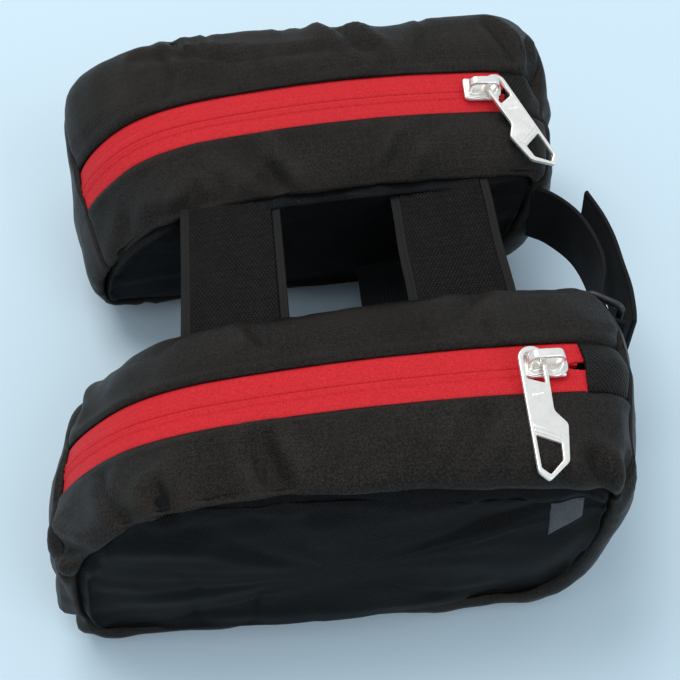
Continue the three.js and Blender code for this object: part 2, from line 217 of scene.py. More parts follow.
# ---------------- meshes
def mesh_object(name, points, faces, uv=None, wear=None):
    """A smooth mesh from layout points.  uv is in millimetres, one pair per point."""
    mesh = bpy.data.meshes.new(name)
    mesh.from_pydata(place(points).tolist(), [], [list(map(int, f)) for f in faces])
    mesh.validate()
    if uv is not None:
        layer = mesh.uv_layers.new(name="weave")
        index = np.zeros(len(mesh.loops), int)
        mesh.loops.foreach_get("vertex_index", index)
        layer.data.foreach_set("uv", (np.asarray(uv, float)[index] * 0.01).ravel())
    # The colour share that the materials read: seam wear, painted highlight and painted shade.
    if wear is not None:
        mesh.attributes.new("wear", "FLOAT", "POINT").data.foreach_set("value", np.asarray(wear, np.float32))
    obj = bpy.data.objects.new(name, mesh)
    scene.collection.objects.link(obj)
    mesh.polygons.foreach_set("use_smooth", [True] * len(mesh.polygons))
    mesh.update()
    return obj


def grid_faces(m, n, start=0, flip=False, wrap=False):
    i, j = np.meshgrid(np.arange(m if wrap else m - 1), np.arange(n - 1), indexing="ij")
    i, j = i.ravel(), j.ravel()
    a, b = i * n + j, ((i + 1) % m) * n + j
    q = np.stack([a, b, b + 1, a + 1], 1) + start
    return q[:, ::-1] if flip else q


def outward(points, faces):
    """The faces, turned so that the closed solid's volume is positive."""
    p = points - points.mean(0)
    fans = [(f[0], f[k], f[k + 1]) for f in faces for k in range(1, len(f) - 1)]
    a, b, c = p[np.array(fans)].swapaxes(0, 1)
    return [f[::-1] for f in faces] if (a * np.cross(b, c)).sum() < 0 else faces


def slab(top, bottom):
    """Closed solid between two grids of points."""
    m, n = top.shape[:2]
    size = m * n
    points = np.vstack([top.reshape(-1, 3), bottom.reshape(-1, 3)])
    faces = [grid_faces(m, n), grid_faces(m, n, size, flip=True)]
    rim = [i * n for i in range(m)] + [(m - 1) * n + j for j in range(1, n)]
    rim += [i * n + n - 1 for i in range(m - 2, -1, -1)] + [j for j in range(n - 2, 0, -1)]
    rim = np.array(rim)
    nxt = np.roll(rim, -1)
    faces.append(np.stack([nxt, rim, rim + size, nxt + size], 1))
    return points, outward(points, np.vstack(faces))


def grid_normals(grid, side_point, wrap=False):
    """Unit normals of a grid of points, pointing away from side_point."""
    if wrap:
        da = np.roll(grid, -1, 0) - np.roll(grid, 1, 0)
    else:
        da = np.gradient(grid, axis=0)
    n = np.cross(da, np.gradient(grid, axis=1))
    n = n / np.maximum(np.linalg.norm(n, axis=-1, keepdims=True), 1e-9)
    return n if ((grid - side_point) * n).sum() > 0 else -n


# ---------------- materials
class Nodes:
    """A short way to write a material's node tree."""

    def __init__(self, name):
        self.material = bpy.data.materials.new(name)
        self.material.use_nodes = True
        self.tree = self.material.node_tree
        self.shader = self.tree.nodes["Principled BSDF"]

    def node(self, kind, **values):
        n = self.tree.nodes.new(kind)
        for key, value in values.items():
            setattr(n, key, value)
        return n

    def link(self, a, b):
        self.tree.links.new(a, b)

    def math(self, operation, *values):
        n = self.node("ShaderNodeMath", operation=operation)
        for socket, value in zip(n.inputs, values):
            if isinstance(value, (int, float)):
                socket.default_value = value
            else:
                self.link(value, socket)
        return n.outputs[0]

    def total(self, *terms):
        """Sum of (value, weight) pairs."""
        products = [self.math("MULTIPLY", value, weight) for value, weight in terms]
        result = products[0]
        for product in products[1:]:
            result = self.math("ADD", result, product)
        return result

    def surface(self, colour, rough, normal):
        for value, name in ((colour, "Base Color"), (rough, "Roughness"), (normal, "Normal")):
            self.link(value, self.shader.inputs[name])

    def uv(self):
        """The weave coordinates, in millimetres."""
        source = self.node("ShaderNodeUVMap", uv_map="weave")
        split = self.node("ShaderNodeSeparateXYZ")
        self.link(source.outputs[0], split.inputs[0])
        return [self.math("MULTIPLY", split.outputs[k], 100.0) for k in (0, 1)]

    def noise(self, scale, detail):
        """Noise at `scale` features per metre over the object."""
        n = self.node("ShaderNodeTexNoise")
        for key, value in (("Scale", scale), ("Detail", detail), ("Roughness", 0.55)):
            n.inputs[key].default_value = value
        self.link(self.node("ShaderNodeTexCoord").outputs["Object"], n.inputs["Vector"])
        return n.outputs["Fac"]

    def ramp(self, factor, stops):
        n = self.node("ShaderNodeValToRGB")
        while len(n.color_ramp.elements) < len(stops):
            n.color_ramp.elements.new(0.5)
        for element, (at, colour) in zip(n.color_ramp.elements, stops):
            element.position = at
            element.color = (*colour, 1)
        self.link(factor, n.inputs[0])
        return n.outputs[0]

    def wave(self, value, period):
        """0 to 1 ripple of that period."""
        turned = self.math("MULTIPLY", value, 2 * math.pi / period)
        return self.math("MULTIPLY_ADD", self.math("SINE", turned), 0.5, 0.5)

    def bump(self, height, distance, strength, under=None):
        n = self.node("ShaderNodeBump")
        n.inputs["Distance"].default_value = distance
        n.inputs["Strength"].default_value = strength
        self.link(height, n.inputs["Height"])
        if under is not None:
            self.link(under, n.inputs["Normal"])
        return n.outputs[0]

    def set(self, **values):
        for key, value in values.items():
            self.shader.inputs[key.replace("_", " ")].default_value = value


def weave_height(n, u, v, pitch):
    """Plain weave: threads go over and under each other."""
    a, b = n.wave(u, pitch), n.wave(v, pitch)
    under = n.math("MULTIPLY", n.math("SUBTRACT", 1.0, a), n.math("SUBTRACT", 1.0, b))
    return n.math("ADD", n.math("MULTIPLY", a, b), under)


def cloth(name, dark, light, pitch, rough, gloss, grid=0.0, tint=(1.0, 0.94, 0.88), twill=False):
    """Coated black cloth: weave, an optional ripstop grid, soft sheen, paler wear near its seams, and painted
    highlight on raised threads, in glinting specks and on raised cloth.
    """
    n = Nodes(name)
    u, v = n.uv()
    if twill:
        slope = n.math("ADD", u, n.math("MULTIPLY", v, 0.8))
        height = n.total((n.wave(slope, pitch * 1.6), 0.7), (n.wave(v, pitch), 0.3))
    else:
        height = weave_height(n, u, v, pitch)
    if grid:
        lines = n.math("MAXIMUM", *[n.math("POWER", n.wave(a, grid), 14.0) for a in (u, v)])
        height = n.total((height, 0.8), (lines, 0.14))
    blotch, painted_thread_glints = n.noise(42, 4), n.noise(1500, 2)
    wear = n.node("ShaderNodeAttribute", attribute_name="wear").outputs["Fac"]
    # Painted highlight: the colour is lighter on the weave's raised threads and in small glinting specks. The
    # attribute adds seam wear and painted highlight.
    mix = n.total((blotch, 0.3), (painted_thread_glints, 1.0), (height, 0.34), (wear, 0.12))
    soft = n.bump(n.noise(260, 3), 0.0004, 0.5)
    n.surface(n.ramp(mix, [(0.7, dark), (1.0, light)]), n.math("MULTIPLY_ADD", blotch, 0.16, rough - 0.08),
              n.bump(height, 0.00022, 0.9, soft))
    n.set(Sheen_Weight=0.015, Sheen_Roughness=0.4, Sheen_Tint=(*tint, 1))
    n.set(Specular_IOR_Level=gloss, Specular_Tint=(*tint, 1))
    return n.material


def tape_material():
    n = Nodes("red_zip_tape")
    u, v = n.uv()
    zig = n.math("PINGPONG", v, 1.1)
    slope = n.math("ADD", u, n.math("MULTIPLY", zig, 1.1))
    height = n.total((n.wave(slope, 0.85), 0.75), (n.wave(v, 0.55), 0.25))
    # Painted highlight: the tape's raised threads are painted a lighter red.
    mix = n.total((height, 0.5), (n.noise(1100, 2), 0.6))
    reds = [(0.25, (0.34, 0.004, 0.009)), (0.55, (0.66, 0.012, 0.02)), (0.95, (0.86, 0.03, 0.04))]
    n.surface(n.ramp(mix, reds), n.math("MULTIPLY_ADD", height, 0.1, 0.6), n.bump(height, 0.00016, 0.8))
    n.set(Sheen_Weight=0.06, Sheen_Roughness=0.4, Sheen_Tint=(1, 0.4, 0.4, 1), Specular_IOR_Level=0.25)
    return n.material


def plain_material(name, dark, light, rough, scale=300, bump=0.0001, metal=0.0):
    """Moulded or cast surface: faint mottling and roughness that varies."""
    n = Nodes(name)
    fleck = n.noise(scale, 4)
    varied = n.math("MULTIPLY_ADD", n.noise(scale / 4, 3), rough * 0.5, rough * 0.75)
    n.surface(n.ramp(fleck, [(0.3, dark), (0.7, light)]), varied, n.bump(fleck, bump, 0.5))
    n.set(Metallic=metal)
    return n.material


def webbing_material(name, dark, light):
    n = Nodes(name)
    u, v = n.uv()
    rib = n.wave(v, 1.5)
    rib_number = n.math("FLOOR", n.math("DIVIDE", v, 1.5))
    pick = n.wave(n.math("ADD", u, n.math("MULTIPLY", rib_number, 0.55)), 1.1)
    height = n.total((rib, 0.6), (pick, 0.4))
    # Painted highlight: the webbing's raised ribs and picks are painted lighter.
    mix = n.total((height, 0.4), (n.noise(60, 4), 0.5))
    n.surface(n.ramp(mix, [(0.2, dark), (0.9, light)]), n.math("MULTIPLY_ADD", height, 0.1, 0.62),
              n.bump(height, 0.0003, 0.8))
    n.set(Sheen_Weight=0.02, Sheen_Roughness=0.5, Specular_IOR_Level=0.18)
    return n.material


def hook_material():
    """Hook pile: painted shade at its roots and painted highlight at the tips of the hooks, both following the
    hooks' height.
    """
    n = Nodes("hook_pile")
    painted_pile_light = n.node("ShaderNodeAttribute", attribute_name="wear").outputs["Fac"]
    mix = n.total((painted_pile_light, 0.7), (n.noise(700, 3), 0.35))
    colour = n.ramp(mix, [(0.35, (0.0004, 0.0004, 0.0004)), (0.85, (0.024, 0.0225, 0.0215))])
    n.surface(colour, n.math("MULTIPLY_ADD", n.noise(90, 3), 0.2, 0.45), n.bump(n.noise(1800, 2), 0.0002, 0.6))
    n.set(Specular_IOR_Level=0.1)
    return n.material


RIPSTOP = cloth("ripstop_cloth", (0.0005, 0.0005, 0.0005), (0.022, 0.019, 0.0165), 0.85,
                grid=3.4, rough=0.42, gloss=0.16)
PANEL = cloth("panel_cloth", (0.001, 0.001, 0.0011), (0.0052, 0.0052, 0.0054), 1.0,
              rough=0.56, gloss=0.1, tint=(0.9, 0.95, 1.0))
TWILL = cloth("twill_cloth", (0.0008, 0.0008, 0.0009), (0.013, 0.0125, 0.013), 0.9,
              rough=0.46, gloss=0.14, twill=True)
RED = tape_material()
NYLON = plain_material("red_nylon", (0.4, 0.01, 0.02), (0.6, 0.02, 0.04), 0.4)
NICKEL = plain_material("nickel_plate", (0.92, 0.89, 0.83), (1.0, 0.98, 0.93), 0.26, 500, 0.00002, 0.65)
PLASTIC = plain_material("ring_plastic", (0.008, 0.008, 0.01), (0.02, 0.02, 0.023), 0.38, 500, 0.00005)
PRINT = plain_material("reflective_print", (0.022, 0.026, 0.03), (0.05, 0.056, 0.062), 0.42, 1500, 0.00006, 0.2)
HOOK = hook_material()
SELVAGE = webbing_material("strap_selvage", (0.004, 0.0038, 0.0038), (0.016, 0.015, 0.015))
WEBBING = webbing_material("black_webbing", (0.0012, 0.0014, 0.0018), (0.007, 0.0078, 0.0095))


def dress(obj, material, body=None, replaces=()):
    obj.data.materials.append(material)
    if body:
        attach(obj, body)
    if replaces:
        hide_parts(*replaces)
    return obj


# ---------------- the pouches' cloth
def spaced(a, b, n, ease=0.6):
    """n + 1 values from a to b, closer together at both ends."""
    u = np.linspace(0, 1, n + 1)
    return a + (b - a) * ((1 - ease) * u + ease * (0.5 - 0.5 * np.cos(np.pi * u)))


# Steps of the grid along the front end panel, the zip and the gusset, across a strip and the zip, and in a disc.
FRONT_STEPS, TOP_STEPS, GUSSET_STEPS, STRIP_STEPS, ZIP_STEPS, RINGS = 18, 104, 150, 20, 10, 41


class Shell:
    """The grid of points over one pouch: a band round its outline and a disc on each side."""

    def __init__(self, pouch):
        self.pouch = pouch
        inner, outer = from_zip(pouch, -1, ZIP_HALF), from_zip(pouch, 1, ZIP_HALF)
        ts = [spaced(FRONT_CORNER, ZIP_FRONT, FRONT_STEPS), spaced(ZIP_FRONT, ZIP_REAR, TOP_STEPS, 0.1),
              spaced(ZIP_REAR, len(ROWS) + FRONT_CORNER, GUSSET_STEPS, 0.1)]
        vs = [spaced(-1, inner, STRIP_STEPS), spaced(inner, outer, ZIP_STEPS, 0.0),
              spaced(outer, 1, STRIP_STEPS)]
        t = np.concatenate([ts[0], ts[1][1:], ts[2][1:-1]])
        v = np.concatenate([vs[0], vs[1][1:], vs[2][1:]])
        self.corner, self.front, self.rear = 0, FRONT_STEPS, FRONT_STEPS + TOP_STEPS
        self.inner_edge, self.outer_edge = STRIP_STEPS, STRIP_STEPS + ZIP_STEPS
        self.r = (1 - spaced(0, 1, RINGS, 0.0)[::-1] ** 1.5)[1:]  # closer together near the seam
        self.nt, self.nv = len(t), len(v)
        self.band = band(pouch, t, v)
        self.discs = {"inner": self.disc(0), "outer": self.disc(self.nv - 1)}

    def disc(self, column):
        """Rings from the panel's middle to its seam: array rings x rows x 3."""
        rim = self.band[:, column]
        surface = outer_y if column else inner_y
        x = PANEL_X + (rim[None, :, 0] - PANEL_X) * self.r[:, None]
        z = PANEL_Z + (rim[None, :, 2] - PANEL_Z) * self.r[:, None]
        y = self.pouch["side"] * surface(self.pouch, x, z)
        rings = np.stack([x, y, z], -1)
        rings[-1] = rim
        return rings


shells = {name: Shell(pouch) for name, pouch in POUCHES.items()}


def between(coarse, axis, wrap):
    """Smoothly doubles a grid along an axis: every second sample is new."""
    c = np.moveaxis(coarse, axis, 0)
    q = np.concatenate([c[-1:], c, c[:2]] if wrap else [c[:1], c, c[-1:]])
    middles = (-q[:-3] + 9 * q[1:-2] + 9 * q[2:-1] - q[3:]) / 16
    out = np.empty((len(c) + len(middles), *c.shape[1:]))
    out[0::2], out[1::2] = c, middles
    return np.moveaxis(out, 0, axis)


def soften(grid, wrapped, passes):
    """Averages each point with its neighbours; the grid closes on itself along axis `wrapped`."""
    for _ in range(passes):
        grid = 0.5 * grid + 0.25 * (np.roll(grid, 1, wrapped) + np.roll(grid, -1, wrapped))
        inner = np.moveaxis(grid, 1 - wrapped, 0).copy()
        inner[1:-1] = 0.5 * inner[1:-1] + 0.25 * (inner[:-2] + inner[2:])
        grid = np.moveaxis(inner, 0, 1 - wrapped)
    return grid


FRAMES, PRESSURE = 20, 1.0
EASE, PADDING = 0.05, 0.4  # how much larger the band is cut, and how firmly the padding holds
HELD_HEIGHT, MOST_MOVE = 0.6, 3.5  # millimetres: cloth lower than this is held, and no point goes further
TO_SOLVER, FROM_SOLVER = 0.01, 100  # ten times life size, which suits the solver's forces


def simulate(shell, name):
    """Blows the pouch up a little as cloth, on every second grid point, held at its seams, zip and base.

    The band is cut larger than the space it fills, and the padding under the cloth holds it back, so it
    wrinkles.  What it gives is softened, and laid back on the full grid.
    """
    coarse = shell.band[::2, ::2]
    nt, nv = coarse.shape[:2]
    rings = {side: shell.discs[side][::2] for side in ("inner", "outer")}
    nr = len(rings["inner"])
    column = {"inner": 0, "outer": nv - 1}
    points, faces, start = [coarse.reshape(-1, 3)], grid_faces(nt, nv, wrap=True).tolist(), nt * nv
    i = np.arange(nt)
    j = (i + 1) % nt
    for side, disc in rings.items():
        points += [disc[:-1].reshape(-1, 3), disc[0].mean(0)[None]]
        ids = [start + k * nt + i for k in range(nr - 1)] + [i * nv + column[side]]
        for low, high in zip(ids, ids[1:]):
            faces += np.stack([low, low[j], high[j], high], 1).tolist()
        centre = start + (nr - 1) * nt
        faces += np.stack([ids[0], ids[0][j], np.full(nt, centre)], 1).tolist()
        start = centre + 1
    points = np.vstack(points)
    mesh = bpy.data.meshes.new(name)
    mesh.from_pydata((points * TO_SOLVER).tolist(), [], faces)
    obj = bpy.data.objects.new(name, mesh)
    scene.collection.objects.link(obj)
    bpy.context.view_layer.objects.active = obj
    obj.select_set(True)
    bpy.ops.object.mode_set(mode="EDIT")
    bpy.ops.mesh.select_all(action="SELECT")
    bpy.ops.mesh.normals_make_consistent(inside=False)
    bpy.ops.object.mode_set(mode="OBJECT")
    held = coarse[..., 2] < HELD_HEIGHT
    held[:, [0, -1]] = True
    held[shell.front // 2:shell.rear // 2 + 1, shell.inner_edge // 2:shell.outer_edge // 2 + 1] = True
    pins = obj.vertex_groups.new(name="held")
    pins.add(list(range(len(points))), PADDING, "REPLACE")
    pins.add(np.flatnonzero(held.ravel()).tolist(), 1.0, "REPLACE")
    obj.vertex_groups.new(name="loose").add(list(range(nt * nv)), 1.0, "REPLACE")
    modifier = obj.modifiers.new("Cloth", "CLOTH")
    s = modifier.settings
    s.quality, s.mass = 5, 0.05
    s.tension_stiffness = s.compression_stiffness = 12
    s.shear_stiffness, s.bending_stiffness = 4, 0.15
    s.vertex_group_mass = "held"
    s.use_pressure, s.uniform_pressure_force = True, PRESSURE
    s.vertex_group_shrink, s.shrink_min, s.shrink_max = "loose", -0.002, -EASE
    s.effector_weights.gravity = 0
    modifier.collision_settings.use_collision = False
    modifier.point_cache.frame_start, modifier.point_cache.frame_end = 1, FRAMES
    for f in range(1, FRAMES + 1):
        scene.frame_set(f)
    done = obj.evaluated_get(bpy.context.evaluated_depsgraph_get()).to_mesh()
    out = np.zeros(len(points) * 3)
    done.vertices.foreach_get("co", out)
    moved = out.reshape(-1, 3) * FROM_SOLVER - points
    size = np.linalg.norm(moved, axis=1, keepdims=True)
    moved *= np.minimum(1, MOST_MOVE / np.maximum(size, 1e-9))
    scene.frame_set(1)
    bpy.data.objects.remove(obj)
    step = soften(moved[:nt * nv].reshape(nt, nv, 3), 0, 1)
    shell.band = shell.band + between(between(step, 0, True), 1, False)[:, :shell.nv]
    start = nt * nv
    for side in rings:
        fade = np.clip((shell.r[:-1:2] - 0.2) / 0.5, 0, 1)[:, None, None]
        disc = fade * soften(moved[start:start + (nr - 1) * nt].reshape(nr - 1, nt, 3), 1, 3)
        disc = np.concatenate([disc, step[None, :, column[side]]])
        shell.discs[side] = shell.discs[side] + between(between(disc, 1, True), 0, False)
        start += (nr - 1) * nt + 1


for shell_name, shell in shells.items():
    simulate(shell, shell_name + "_cloth")


# ---------------- folds, puckers and seams
# Folds, listed one by one: row, rows gone along it, band positions of its two ends, depth and half width in mm.
CREASES = {
    "near": [
        (4.15, -0.2, 0.4, 0.85, 2.2, 2.4), (5.5, -0.2, 0.65, 0.9, 1.9, 2.0), (8.0, -0.8, 0.6, 0.9, 2.0, 2.0),
        (0.2, -0.4, 0.7, 0.9, 1.3, 1.8), (18.5, 0.5, 0.9, 0.7, 1.2, 2.0), (4.0, 0.2, -0.5, -0.75, 1.0, 1.8),
        (2.1, -0.3, 0.65, 0.35, 0.8, 2.6), (10.0, 0.3, 0.9, 0.65, 1.3, 2.2), (1.5, 0.4, -0.8, -0.5, 0.9, 2.2),
        (17.5, 0.3, -0.1, -0.6, 0.9, 2.4), (8.2, -0.4, -0.9, -0.5, 1.4, 2.2),
    ],
    "far": [
        (5.8, -1.0, 0.7, 0.6, 1.0, 1.6), (4.8, -1.0, 0.6, 0.5, 1.2, 1.6), (3.8, -1.3, 0.5, 0.45, 1.0, 1.6),
        (5.1, -0.2, 0.85, 0.6, 1.6, 1.6), (4.8, -0.2, 0.8, 0.55, 1.2, 1.6), (2.7, -0.4, 0.8, 0.45, 1.9, 2.2),
        (4.2, -0.4, -0.35, -0.65, 1.2, 3.0), (3.8, -0.2, -0.65, -0.9, 1.6, 2.4),
        (0.2, -0.5, 0.65, 0.35, 1.1, 1.8), (18.7, 0.4, 0.1, 0.5, 1.0, 2.0),
        (4.9, 0.3, -0.7, -0.95, 1.2, 2.0), (17.8, 0.4, -0.5, -0.1, 0.9, 2.4),
        (2.3, -0.3, -0.9, -0.5, 0.8, 2.2), (10.0, -0.5, 0.9, 0.5, 1.2, 2.4),
    ],
}
# Where a filled pouch sits off its pattern: middle, reach and shift, in layout millimetres.
SLUMPS = {
    "near": [((-98, -75, 32), 28, (-1.5, 0, 0)), ((98, -92, 30), 30, (-2, 0, 0)),
             ((92, -48, 68), 18, (2.5, 0, 1)), ((-35, -92, 80), 14, (0, 0, -1.8))],
    "far": [((-88, 103, 62), 24, (-5, 2, 3)), ((95, 92, 58), 28, (5, 0, 0)), ((40, 106, 80), 15, (0, -1, -4)),
            ((-12, 106, 82), 30, (0, 0, -2))],
}


def slumped(p, pouch_name):
    """The shift of each point; the far pouch's gap side also hangs clear of the floor."""
    total = np.zeros(p.shape)
    for middle, reach, shift in SLUMPS[pouch_name]:
        total += np.exp(-(np.linalg.norm(p - middle, axis=-1, keepdims=True) / reach) ** 2) * shift
    if pouch_name == "far":
        hang = np.clip(1 - p[..., 2] / 45, 0, 1) ** 3 * np.clip((112 - p[..., 1]) / 75, 0, 1)
        total += hang[..., None] * np.array([0, 4, 8.5])
    return total


def wandering(p, seed):
    """Sparse creases that wander: the lines where a slow noise passes zero."""
    slow = noise(p, 21, seed)
    line = np.exp(-((slow / 0.11) ** 2))
    beside = np.exp(-(((np.abs(slow) - 0.26) / 0.13) ** 2))
    return np.clip(1.6 * noise(p, 30, seed + 1) + 0.25, 0, 1) * (line - 0.35 * beside)


FOLD_DEPTH, FOLD_WIDTH = 2.1, 1.45  # how much stronger and wider every fold is made
PROUD, PROUD_AT = 0.45, 2.1  # height of the cloth beside a fold, and how many half widths away


def creased(p, pouch_name):
    """How deep the folds are at each point; the cloth stands a little proud beside them."""
    total = np.zeros(p.shape[:-1])
    pouch = POUCHES[pouch_name]
    for row, rows_along, v0, v1, depth, width in CREASES[pouch_name]:
        a = band(pouch, [row], [v0])[0, 0]
        d = band(pouch, [row + rows_along], [v1])[0, 0] - a
        along = np.clip(((p - a) @ d) / (d @ d), 0, 1)
        away = np.linalg.norm(p - (a + along[..., None] * d), axis=-1)
        depth_here = depth * (0.35 + 0.65 * np.sin(np.pi * np.clip(0.12 + 0.8 * along, 0, 1)))
        depth_here, width = FOLD_DEPTH * depth_here, FOLD_WIDTH * width
        fold = np.exp(-((away / width) ** 2))
        total += depth_here * (fold - PROUD * np.exp(-(((away - PROUD_AT * width) / width) ** 2)))
    return total


def travel(points, axis):
    """Distance gone along a grid axis, from its first sample."""
    step = np.linalg.norm(np.diff(points, axis=axis), axis=-1)
    return np.concatenate([np.zeros_like(np.take(step, [0], axis)), np.cumsum(step, axis)], axis)


def groove(distance, depth, width):
    return depth * np.exp(-((distance / width) ** 2))


def puckers(u, distance, seed):
    """Gathers square to a seam: short ones close to it, longer ones reaching further."""
    return (0.6 * noise1(u, 4.5, seed) * np.exp(-distance / 5)
            + 0.9 * noise1(u, 13, seed + 1) * np.exp(-distance / 15))


CLOTH_THICK = 1.4
LAST_STEP = 2  # roughly how far it is from the band's last row back to its first


def pouch_middle(pouch):
    return np.array([0, pouch["side"] * ZIP_Y, PANEL_Z])


def finish_shell(shell, name):
    """Adds seams, puckers and folds; leaves the outer and inner skins, weave coordinates, and a colour share of
    seam wear and painted highlight on raised cloth.
    """
    pouch, seed = shell.pouch, shell.pouch["seed"]
    middle = pouch_middle(pouch)
    b = shell.band
    n = grid_normals(b, middle, wrap=True)
    dv = travel(b, 1)
    to_inner, to_outer = dv, dv[:, -1:] - dv
    to_vi, to_vo = np.abs(dv - dv[:, [shell.inner_edge]]), np.abs(dv - dv[:, [shell.outer_edge]])
    u = travel(b[:, shell.nv // 2], 0)[:, None]
    around = u[-1, 0] + LAST_STEP

    def to_row(k):
        d = np.abs(u - u[k, 0])
        return np.minimum(d, around - d)

    columns, cross = np.arange(shell.nt)[:, None], np.arange(shell.nv)[None, :]
    on_zip = (cross >= shell.inner_edge) & (cross <= shell.outer_edge)
    top = columns <= shell.rear
    push = -groove(to_inner, 1.7, 1.7) - groove(to_outer, 1.9, 1.8)
    push -= groove(to_row(shell.rear), 0.9, 1.3) * ~on_zip + groove(to_row(shell.corner), 0.9, 1.3)
    ahead = columns <= shell.front
    push -= ahead * (groove(to_vi, 0.8, 1.1) + groove(to_vo, 0.8, 1.1))
    push -= (top & ~ahead & ~on_zip) * (groove(to_vi, 0.5, 0.6) + groove(to_vo, 0.5, 0.6))
    for edge in (to_vi, to_vo):
        push += (top & ~on_zip) * 0.45 * np.exp(-((edge - 2.2) / 1.6) ** 2)
    off_zip = np.clip(np.minimum(to_vi, to_vo) / 8, 0, 1)
    off_zip = np.where(on_zip & top & ~ahead, 0, np.where(top, off_zip, 1))
    wrinkles = puckers(u, to_outer, seed) + puckers(u + 300, to_inner, seed + 5)
    wrinkles += 1.1 * noise(b, 24, seed + 7) + 0.35 * noise(b * [1, 0.6, 1], 10, seed + 8)
    wrinkles -= 1.3 * wandering(b, seed + 20)
    near_seam = np.minimum(to_inner, to_outer)
    at_seam = np.exp(-((near_seam / 5.5) ** 2))
    wrinkles *= (0.25 + 0.75 * off_zip) * (1 - 0.35 * at_seam)
    push += (wrinkles - creased(b, name) * (1 - 0.9 * at_seam)) * np.where(on_zip & top & ~ahead, 0, 1)
    b = b + slumped(b, name) * off_zip[..., None]
    outer = b + n * push[..., None]
    outer[..., 2] = np.maximum(outer[..., 2], 0.15)
    shell.skin, shell.inside = outer, b + n * (np.minimum(push, 0)[..., None] - CLOTH_THICK)
    shell.inside[..., 2] = np.maximum(shell.inside[..., 2], 1.2)
    shell.uv = np.stack([u + 0 * dv, dv - dv[:, [shell.nv // 2]]], -1)
    # Colour share: paler near the seams for wear, plus a painted highlight where the cloth is pushed out.
    shell.wear = np.exp(-(((near_seam - 2.6) / 1.8) ** 2)) + 0.6 * np.clip(push, 0, 1)
    shell.panels = {}
    for side, disc in shell.discs.items():
        column = 0 if side == "inner" else shell.nv - 1
        m = grid_normals(np.swapaxes(disc, 0, 1), middle, wrap=True).swapaxes(0, 1)
        out = np.array([0, pouch["side"] * (1 if side == "outer" else -1), 0])
        m = 0.5 * (m * np.sign((m @ out).mean()) + out)
        rim = travel(disc[::-1], 0)[::-1]
        push = -groove(rim, 1.0, 1.6) + 0.7 * (1 - np.exp(-rim / 6))
        push += puckers(u.T, rim, seed + 11)
        push += 0.5 * noise(disc, 20, seed + 13) + 0.25 * noise(disc, 8, seed + 14)
        push -= 0.6 * wandering(disc, seed + 30) + creased(disc, name)
        push *= 1 - np.exp(-((rim / 1.2) ** 2))
        disc = disc + slumped(disc, name)
        skin = disc + m * push[..., None]
        skin[-1] = outer[:, column]
        inside = disc + m * (np.minimum(push, 0)[..., None] - CLOTH_THICK)
        inside[-1] = shell.inside[:, column]
        # Colour share: paler near the seam for wear, plus a painted highlight where the panel stands higher.
        wear = np.exp(-(((rim - 2.2) / 1.6) ** 2)) + 0.4 * np.clip(push - 0.5, 0, 1)
        shell.panels[side] = (skin, inside, wear)


def band_piece(shell, name, columns, rows):
    """A closed piece of the band: outer skin, inner skin and rim."""
    at = np.ix_(columns % shell.nt, rows)
    points, faces = slab(shell.skin[at], shell.inside[at])
    uv = shell.uv[at].copy()
    uv[..., 0] = np.where(columns[:, None] >= shell.nt, shell.uv[-1, 0, 0] + LAST_STEP, uv[..., 0])
    uv, wear = uv.reshape(-1, 2), shell.wear[at].ravel()
    return mesh_object(name, points, faces, np.vstack([uv, uv]), np.concatenate([wear, wear]))


def panel_piece(shell, name, side):
    """A closed side panel: two skins of rings, each with a middle point."""
    skin, inside, wear = shell.panels[side]
    nr, nt = skin.shape[:2]
    points, faces, starts = [], [], []
    for sheet in (skin, inside):
        starts.append(sum(len(p) for p in points))
        points += [sheet.reshape(-1, 3), sheet[0].mean(0)[None]]
    i = np.arange(nt)
    j = (i + 1) % nt
    for k, start in enumerate(starts):
        turn = 1 if k == 0 else -1
        for ring in range(nr - 1):
            low, high = start + ring * nt, start + (ring + 1) * nt
            faces += np.stack([low + i, low + j, high + j, high + i], 1)[:, ::turn].tolist()
        faces += np.stack([start + j, start + i, np.full(nt, start + nr * nt)], 1)[:, ::turn].tolist()
    front, back = [start + (nr - 1) * nt for start in starts]
    faces += np.stack([front + i, front + j, back + j, back + i], 1).tolist()
    points = np.vstack(points)
    faces = outward(points, faces)
    wear = np.concatenate([wear.ravel(), [0]])
    return mesh_object(name, points, faces, points[:, [0, 2]], np.concatenate([wear, wear]))


for name, shell in shells.items():
    finish_shell(shell, name)
    body = name + "_pouch"
    every = np.arange(shell.nv)
    top = np.arange(shell.rear + 1)
    cloths = [
        ("gusset", np.arange(shell.rear, shell.nt + 1), every, RIPSTOP),
        ("top_inner_strip", top, every[:shell.inner_edge + 1], RIPSTOP),
        ("top_outer_strip", top, every[shell.outer_edge:], RIPSTOP),
        ("zip_end_panel", top[:shell.front + 1], every[shell.inner_edge:shell.outer_edge + 1], TWILL),
    ]
    for part, columns, rows, material in cloths:
        obj = band_piece(shell, f"{name}_{part}_cloth", columns, rows)
        dress(obj, material, body, [f"{name}_{part}"])
    for side in ("outer", "inner"):
        obj = panel_piece(shell, f"{name}_{side}_panel_cloth", side)
        dress(obj, PANEL, body, [f"{name}_{side}_panel", f"{name}_{side}_liner"])


# ---------------- zips
def zip_matrix(pouch, t):
    """Row-frame matrix whose X runs along the zip at row t and whose Z stands square to the tape."""
    at = band(pouch, [t], [0.0])[0, 0]
    along = np.array([1, 0, -math.tan(math.asin((at[0] - ARC_X) / ARC_R))])
    along /= np.linalg.norm(along)
    across = band(pouch, [t], [0.2 * pouch["side"]])[0, 0] - band(pouch, [t], [-0.2 * pouch["side"]])[0, 0]
    up = np.cross(along, across)
    up /= np.linalg.norm(up)
    turn = Matrix(np.column_stack([along, np.cross(up, along), up]).tolist()).to_4x4()
    return Matrix.Translation(Vector(place(at))) @ turn


